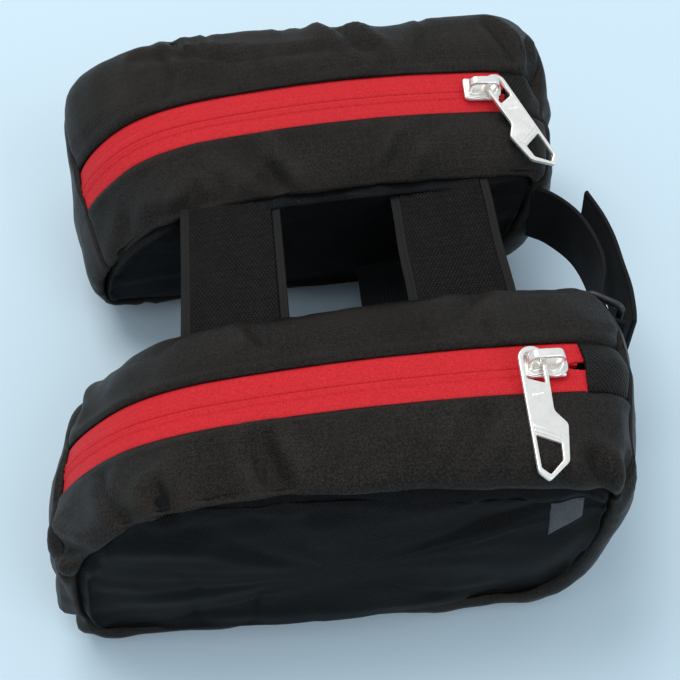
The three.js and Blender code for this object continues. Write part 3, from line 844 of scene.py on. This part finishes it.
def tape_heights(u, s):
    """Relief of the tape: ribs of the coil under it beside the slit, and a sewn line beyond them."""
    rib = 0.5 + 0.5 * np.cos(2 * math.pi * u / 1.5)
    ridge = 0.2 * np.exp(-((s - 1.7) / 1.4) ** 4)
    rows = 0.24 * rib * np.exp(-((s - 1.1) / 0.45) ** 4) + 0.24 * (1 - rib) * np.exp(-((s - 2.4) / 0.55) ** 4)
    stitch = 0.14 * (0.5 + 0.5 * np.cos(2 * math.pi * u / 2.1)) * np.exp(-((s - 3.7) / 0.25) ** 2)
    return ridge + rows + stitch - 0.12 * np.exp(-((s - 3.7) / 0.5) ** 2) + 0.05 * noise1(u, 9, 5)


SLIDER_ROW = {"near": 0.77, "far": 0.55}
TAPE_THICK = 1.5
for name, shell in shells.items():
    pouch = shell.pouch
    t = np.linspace(ZIP_FRONT - 0.03, ZIP_REAR + 0.07, 1200)
    run = travel(band(pouch, t, [0.0])[:, 0], 0)
    t = np.interp(np.linspace(0, run[-1], 500), run, t)
    u = np.linspace(0, run[-1], 500)[:, None]
    slider_x = zip_matrix(pouch, SLIDER_ROW[name]).translation.x * 1000 - SHIFT[0]
    ahead = np.clip((band(pouch, t, [0.0])[:, :, 0] - slider_x - 5) / 6, 0, 1)
    for hand, sign in (("inner", -1), ("outer", 1)):
        s = np.concatenate([np.arange(0.12, 4.4, 0.3), np.linspace(5, 10.6, 8)])[None, :]
        parted = s + ahead * 1.5 * np.clip(1 - s / 9, 0, 1)
        v = from_zip(pouch, sign, parted)
        grid = np.stack([band(pouch, [tt], vv)[0] for tt, vv in zip(t, v)])
        normal = grid_normals(grid, pouch_middle(pouch))
        depth = 0.55 + 0.6 * np.clip((s - 8.6) / 1.2, 0, 1)
        height = tape_heights(u, s) * (1 - 0.4 * ahead) - depth
        points, faces = slab(grid + normal * height[..., None], grid - normal * TAPE_THICK)
        uv = np.stack(np.broadcast_arrays(u, s), -1).reshape(-1, 2)
        obj = mesh_object(f"{name}_zip_tape_{hand}_woven", points, faces, np.vstack([uv, uv]))
        dress(obj, RED, name + "_pouch", [f"{name}_zip_tape_{hand}"])


# ---------------- sliders, pulls and other plates
def rounded(corners, radius, steps=5):
    """The outline with each corner turned into a short arc."""
    p, out = [np.array(c, float) for c in corners], []
    for k, at in enumerate(p):
        back, ahead = p[k - 1] - at, p[(k + 1) % len(p)] - at
        a, b = np.linalg.norm(back), np.linalg.norm(ahead)
        cut = min(radius, a * 0.45, b * 0.45)
        start, end = at + back / a * cut, at + ahead / b * cut
        for w in np.linspace(0, 1, steps):
            out.append((1 - w) ** 2 * start + 2 * w * (1 - w) * at + w**2 * end)
    return out


def plate(outline, z0, z1, bevel, holes=(), turn=None):
    """Bevelled plate in millimetres between two heights, as a mesh; turn places it."""
    curve = bpy.data.curves.new("plate", "CURVE")
    curve.dimensions, curve.fill_mode = "2D", "BOTH"
    curve.extrude, curve.bevel_depth, curve.bevel_resolution = (z1 - z0) / 2 - bevel, bevel, 3
    curve.offset = -bevel
    for loop in (outline, *holes):
        line = curve.splines.new("POLY")
        line.points.add(len(loop) - 1)
        for point, (x, y) in zip(line.points, loop):
            point.co = (x, y, 0, 1)
        line.use_cyclic_u = True
    obj = bpy.data.objects.new("plate", curve)
    mesh = bpy.data.meshes.new_from_object(obj)
    bpy.data.objects.remove(obj)
    mesh.transform(Matrix.Translation((0, 0, (z0 + z1) / 2)))
    if turn is not None:
        mesh.transform(turn)
    return mesh


def assemble(name, meshes, matrix):
    """The metal piece for that CAD part: meshes in millimetres, put in place by a row-frame matrix."""
    whole = bmesh.new()
    for mesh in meshes:
        whole.from_mesh(mesh)
    bmesh.ops.remove_doubles(whole, verts=whole.verts, dist=1e-4)
    bmesh.ops.triangulate(whole, faces=[f for f in whole.faces if len(f.verts) > 4])
    bmesh.ops.recalc_face_normals(whole, faces=whole.faces)
    mesh = bpy.data.meshes.new(name + "_cast")
    whole.to_mesh(mesh)
    whole.free()
    mesh.transform(matrix @ Matrix.Scale(0.001, 4))
    mesh.polygons.foreach_set("use_smooth", [True] * len(mesh.polygons))
    mesh.set_sharp_from_angle(angle=math.radians(35))
    obj = bpy.data.objects.new(name + "_cast", mesh)
    scene.collection.objects.link(obj)
    dress(obj, NICKEL, name, [name])


SLIDER_HALF = [(-7.5, -5), (-2, -4.2), (3, -5.6), (7, -3.4), (7.5, 0)]
ARCH_HALF = [(-6, 0), (-6, 4), (-4.4, 5.9)]
ARCH_HOLE = [(-4.4, 0), (-4.4, 3.4), (-3.6, 4.3)]
ARCH_LEG, PULL_Z = 5.2, 2.9


def slider_meshes():
    def mirrored(half):
        return [(-x, y) for x, y in half[::-1]]

    body = rounded(SLIDER_HALF + [(x, -y) for x, y in SLIDER_HALF[-2::-1]], 1.6)
    hump = [(x * 0.72 - 0.2, y * 0.7) for x, y in body]
    arch = rounded(ARCH_HALF + mirrored(ARCH_HALF) + mirrored(ARCH_HOLE[::-1]) + ARCH_HOLE[::-1], 1.5)
    upright = Matrix.Translation((0, 0, 1.6)) @ Matrix.Rotation(math.pi / 2, 4, "X")
    rail = rounded([(-6.6, -0.55), (5.8, -0.55), (5.8, 0.55), (-6.6, 0.55)], 0.5)
    return [
        plate(body, 0.55, 1.9, 0.5), plate(hump, 1.6, 2.5, 0.4), plate(body, -5.2, -3.9, 0.4),
        plate(rounded([(2.4, -0.5), (6.8, -0.5), (6.8, 0.5), (2.4, 0.5)], 0.4), -5, 1, 0.1),
        plate(arch, -1.7, 1.7, 0.55, turn=upright),
    ] + [plate(rail, 0.2, 1.4, 0.3, turn=Matrix.Translation((0.4, y, 0))) for y in (4.3, -4.3)]


def pull_meshes(hand):
    """The pull's plate and its raised marks; hand is 1 or -1, the side of the bridge that it hangs from."""
    def turned(loop):
        return [(hand * (x - 3.9), -(y - 4.9)) for x, y in loop]

    def arc(r, w0):
        return [(4.45 + r * math.cos(a), w0 - r * math.sin(a)) for a in np.linspace(0, math.pi, 17)]

    sides = [(0, 9), (0, 43), (3.2, 46), (10.2, 40), (12, 27.5), (8.4, 23), (8.6, 9)]
    outline = arc(4.45, 4.45) + rounded(sides, 1.1)[5:-5]
    eye = arc(2.85, 4.75) + rounded([(1.6, 8), (1.6, 11.6), (7.3, 13.4), (7.3, 8)], 0.8)[5:-5]
    window = rounded([(1.3, 31), (1.3, 41.8), (3.7, 43.9), (8.2, 39.4), (8.6, 34)], 0.5)
    marks = [[(1.0, 27.4), (1.0, 28.6), (9.6, 32.2), (10.4, 31.2)],
             [(1.0, 29.0), (1.0, 30.0), (8.7, 33.2), (9.3, 32.6)],
             [(2.2, 17.2), (2.2, 17.8), (6.2, 17.0), (6.2, 16.4)]]
    return [plate(turned(outline), 0, 1.6, 0.38, [turned(eye), turned(window)])] + [
        plate(turned(rounded(mark, 0.3)), 1.2, 1.9, 0.18) for mark in marks]


PULL_TURN = {"near": (1, -2, 7), "far": (-1, 24, 0)}  # hand, and turn and drop in degrees
for name, pouch in POUCHES.items():
    at = zip_matrix(pouch, SLIDER_ROW[name])
    assemble(name + "_slider", slider_meshes(), at)
    hand, spin, drop = PULL_TURN[name]
    hang = (Matrix.Translation(np.array([-hand * ARCH_LEG, 0, PULL_Z]) * 0.001)
            @ Matrix.Rotation(math.radians(drop), 4, "X") @ Matrix.Rotation(math.radians(spin), 4, "Z"))
    assemble(name + "_pull", pull_meshes(hand), at @ hang)


# ---------------- straps
def strip(name, top, bottom, uv, wear=None):
    """A closed piece between two grids of points, with the same weave coordinates on both."""
    points, faces = slab(top, bottom)
    uv = uv.reshape(-1, 2)
    wear = None if wear is None else np.concatenate([wear.ravel(), 0 * wear.ravel()])
    return mesh_object(name, points, faces, np.vstack([uv, uv]), wear)


def hook_strap(name, x, seed):
    """Hook tape: a pile of small hooks between two plain selvages, across the gap."""
    across = np.concatenate([np.linspace(-19, -16.2, 7), np.linspace(-16, 16, 97), np.linspace(16.2, 19, 7)])
    along = np.linspace(-32.4, 31.8, 190)
    a, w = np.meshgrid(along, across, indexing="ij")
    pile = np.clip((16 - np.abs(w)) / 0.5, 0, 1)
    row = np.floor(a / 1.15)
    bristle = np.abs(np.sin(math.pi * (w / 1.3 + 0.5 * (row % 2))))
    bristle *= np.abs(np.sin(math.pi * a / 1.15)) ** 0.7
    ragged = 0.8 + 0.2 * noise(np.stack([a, w], -1), 1.2, seed)
    z = 67.3 - 1.2 * np.cos(math.pi * a / 64) + 0.25 * noise(np.stack([a, w], -1), 18, seed + 1)
    z = z + np.maximum(0, (np.abs(w) - 17.5)) * 0.06
    lean = 0.05 * w * np.sin(a / 40)
    xs = x + w + 0.25 * noise(np.stack([a * 0.3, np.ones_like(w)], -1), 6, seed + 2)
    top = np.stack([xs, a, z + lean + pile * (0.35 + 0.75 * bristle * ragged)], -1)
    bottom = np.stack([xs, a, z + lean - 1.1], -1)
    # The pile's height goes to the colour share: painted shade at the roots, painted highlight at the tips.
    obj = strip(name + "_tape", top, bottom, np.stack([a, w], -1), pile * bristle * ragged)
    obj.data.materials.append(HOOK)
    obj.data.materials.append(SELVAGE)
    m, n = a.shape
    edge = [0 if abs(across[k]) < 16 and abs(across[k + 1]) < 16.1 else 1 for k in range(n - 1)]
    index = np.ones(len(obj.data.polygons), int)
    index[:(m - 1) * (n - 1)] = np.tile(edge, m - 1)
    obj.data.polygons.foreach_set("material_index", index)
    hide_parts(name)
    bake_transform(obj)


hook_strap("hook_strap_rear", -31, 31)
hook_strap("hook_strap_front", 49, 37)

# The lower strap hangs a little slack between the pouches.
a, w = np.meshgrid(np.linspace(-30.5, 30.5, 62), np.linspace(-24, 24, 40), indexing="ij")
z = 25 - 1.6 * np.cos(math.pi * a / 61) + 0.4 * noise(np.stack([a, w], -1), 16, 41)
edge = 0.5 * np.clip((np.abs(w) - 23) / 1, 0, 1)
top, bottom = [np.stack([40 + w, a, z + sign * (0.9 - edge)], -1) for sign in (1, -1)]
obj = strip("lower_loop_strap_webbing", top, bottom, np.stack([a, w], -1))
dress(obj, WEBBING, replaces=["lower_loop_strap"])
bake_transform(obj)


HEAD_Z = (31, 59)  # lower and upper edge of the head strap, its tail and the ring tab


def standing_strap(name, path, seed, samples):
    """Strap on edge along a path in plan, with soft edges and a little wander."""
    z0, z1 = HEAD_Z
    line, along = spline(path, samples)
    side = np.stack([-along[:, 1], along[:, 0]], -1)
    length = travel(line, 0)
    w = np.linspace(0, z1 - z0, 30)
    past_flat = np.maximum(0, np.abs(w / (z1 - z0) * 2 - 1) - 0.93) / 0.07
    half = 0.9 * np.sqrt(np.clip(1 - past_flat**2 * 0.75, 0, 1))
    uv = np.stack(np.meshgrid(length, w, indexing="ij"), -1)
    wander = 0.5 * noise(uv, 15, seed)
    lift = 0.5 * noise1(length, 25, seed + 1)
    skins = []
    for sign in (1, -1):
        off = sign * half[None, :] + wander * np.clip(length / 6, 0, 1)[:, None]
        xy = line[:, None, :] + side[:, None, :] * off[..., None]
        skins.append(np.concatenate([xy, (z0 + w[None, :] + lift[:, None])[..., None]], -1))
    return strip(name, *skins, uv), float(length[-1])


STANDING = [
    ("head_strap", None, 51, 150, "head_strap_ring_moulded",
     [(84.5, 32.5), (86.5, 31.5), (94, 26), (101, 15), (104.5, 0), (104, -13), (100.5, -23), (99.2, -30),
      (101.2, -36), (105, -38.4)]),
    ("head_strap_tail", "strap_tail", 57, 150, "head_strap_webbing",
     [(108.2, -37.6), (109.5, -32), (111, -18), (111.5, -3), (110, 12), (107, 26)]),
    ("ring_tab", "near_pouch", 61, 24, "head_strap_ring_moulded", [(82, -28.8), (87, -25.6), (91.8, -23.2)]),
]
for name, body, seed, samples, support, path in STANDING:
    obj, run = standing_strap(name + "_webbing", path, seed, samples)
    dress(obj, WEBBING, body, [name])
    if body is None:
        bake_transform(obj)


def ring(name, a, b, z0, z1):
    """Rectangular ring of slightly flattened bar, standing on edge from plan point a to b."""
    a, b = np.array(a, float), np.array(b, float)
    length = np.linalg.norm(b - a)
    d = (b - a) / length
    inset, half_deep, half_thick = 1.45, 1.6, 1.3
    s0, s1, h0, h1 = inset, length - inset, z0 + half_deep, z1 - half_deep
    loop = rounded([(s0, h0), (s1, h0), (s1, h1), (s0, h1)], 3.0, 9)
    middle = np.array([[*(a + d * s), z] for s, z in loop])
    along = np.roll(middle, -1, 0) - np.roll(middle, 1, 0)
    along /= np.linalg.norm(along, axis=1)[:, None]
    out = np.array([-d[1], d[0], 0])
    sides = np.cross(along, out)
    turn = np.linspace(0, 2 * math.pi, 15)[:-1]
    grid = (middle[:, None] + out * (half_thick * np.sin(turn))[None, :, None]
            + sides[:, None] * (half_deep * np.cos(turn))[None, :, None])
    m, n = grid.shape[:2]
    faces = []
    for i in range(m):
        low, high = i * n, ((i + 1) % m) * n
        faces += [[low + j, high + j, high + (j + 1) % n, low + (j + 1) % n] for j in range(n)]
    points = grid.reshape(-1, 3)
    return mesh_object(name, points, outward(points - points.mean(0), faces))


obj = ring("head_strap_ring_moulded", (93, -24.5), (105.5, -34.5), 26.5, 63.5)
dress(obj, PLASTIC, "near_pouch", ["head_strap_ring"])


# ---------------- printed patches
def on_panel(shell, x, z):
    """How far out the finished outer panel is at x, z."""
    skin = shell.panels["outer"][0].reshape(-1, 3)
    flat = np.stack([x.ravel(), z.ravel()], -1)
    weight = np.exp(-((flat[:, None] - skin[None, :, [0, 2]]) ** 2).sum(-1) / 4.5) + 1e-12
    return ((weight * skin[None, :, 1]).sum(1) / weight.sum(1)).reshape(x.shape)


PATCH_CORNERS, PATCH_THICK = np.array([(62, 50), (73, 56), (73, 64), (62, 64)], float), 0.45  # x and z


def patch(name, shell):
    """Thin print laid on the outer panel."""
    u, v = np.meshgrid(np.linspace(0, 1, 22), np.linspace(0, 1, 18), indexing="ij")
    shares = ((1 - u) * (1 - v), u * (1 - v), u * v, (1 - u) * v)
    xz = sum(share[..., None] * corner for share, corner in zip(shares, PATCH_CORNERS))
    y = on_panel(shell, xz[..., 0], xz[..., 1])
    side = shell.pouch["side"]
    edge = np.minimum(np.minimum(u, 1 - u), np.minimum(v, 1 - v))
    rise = PATCH_THICK * np.clip(edge / 0.06, 0, 1) ** 0.5
    top = np.stack([xz[..., 0], y + side * rise, xz[..., 1]], -1)
    bottom = np.stack([xz[..., 0], y - side * 0.6, xz[..., 1]], -1)
    obj = strip(name + "_reflective_patch_print", top, bottom, xz)
    dress(obj, PRINT, name + "_pouch", [name + "_reflective_patch"])


for name, shell in shells.items():
    patch(name, shell)
    for hand in ("inner", "outer"):
        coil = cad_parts[f"{name}_zip_coil_{hand}"].data
        coil.materials.clear()
        coil.materials.append(NYLON)

# ---------------- stage, light and camera
floor_mesh = bpy.data.meshes.new("floor")
floor_mesh.from_pydata([(-6, -6, 0), (6, -6, 0), (6, 6, 0), (-6, 6, 0)], [], [(0, 1, 2, 3)])
floor = bpy.data.objects.new("floor", floor_mesh)
scene.collection.objects.link(floor)
pale = Nodes("pale_floor")
pale.set(Base_Color=(0.61, 0.76, 0.85, 1), Roughness=0.7, Specular_IOR_Level=0.2)
floor_mesh.materials.append(pale.material)

scene.view_settings.view_transform = "Standard"
world = bpy.data.worlds.new("studio")
scene.world = world
world.use_nodes = True
background = world.node_tree.nodes["Background"].inputs
background["Color"].default_value, background["Strength"].default_value = (0.86, 0.93, 1.0, 1), 0.66


def area_light(name, at, aim, size, power, colour):
    data = bpy.data.lights.new(name, "AREA")
    data.shape, data.size, data.size_y = "RECTANGLE", size[0], size[1]
    data.energy, data.color = power, colour
    light = bpy.data.objects.new(name, data)
    light.location = at
    light.rotation_euler = (Vector(aim) - Vector(at)).to_track_quat("-Z", "Y").to_euler()
    scene.collection.objects.link(light)


area_light("key", (-0.45, 1.0, 2.1), (0, 0, 0.04), (1.4, 1.1), 27, (1.0, 0.97, 0.93))
area_light("fill", (1.4, -1.3, 1.6), (0, 0, 0.04), (1.2, 1.2), 13, (0.88, 0.94, 1.0))

camera = bpy.data.objects.new("camera", bpy.data.cameras.new("camera"))
camera.data.lens, camera.data.sensor_width = 53.5, 36
camera.data.clip_start, camera.data.clip_end = 0.01, 20
right, up, back = (0.99355, -0.10310, -0.04711), (0.11117, 0.80513, 0.58259), (-0.02213, -0.58407, 0.81140)
camera.matrix_world = (Matrix.Translation((-0.00861, -0.24356, 0.34788))
                       @ Matrix([right, up, back]).transposed().to_4x4())
scene.collection.objects.link(camera)
scene.camera = camera
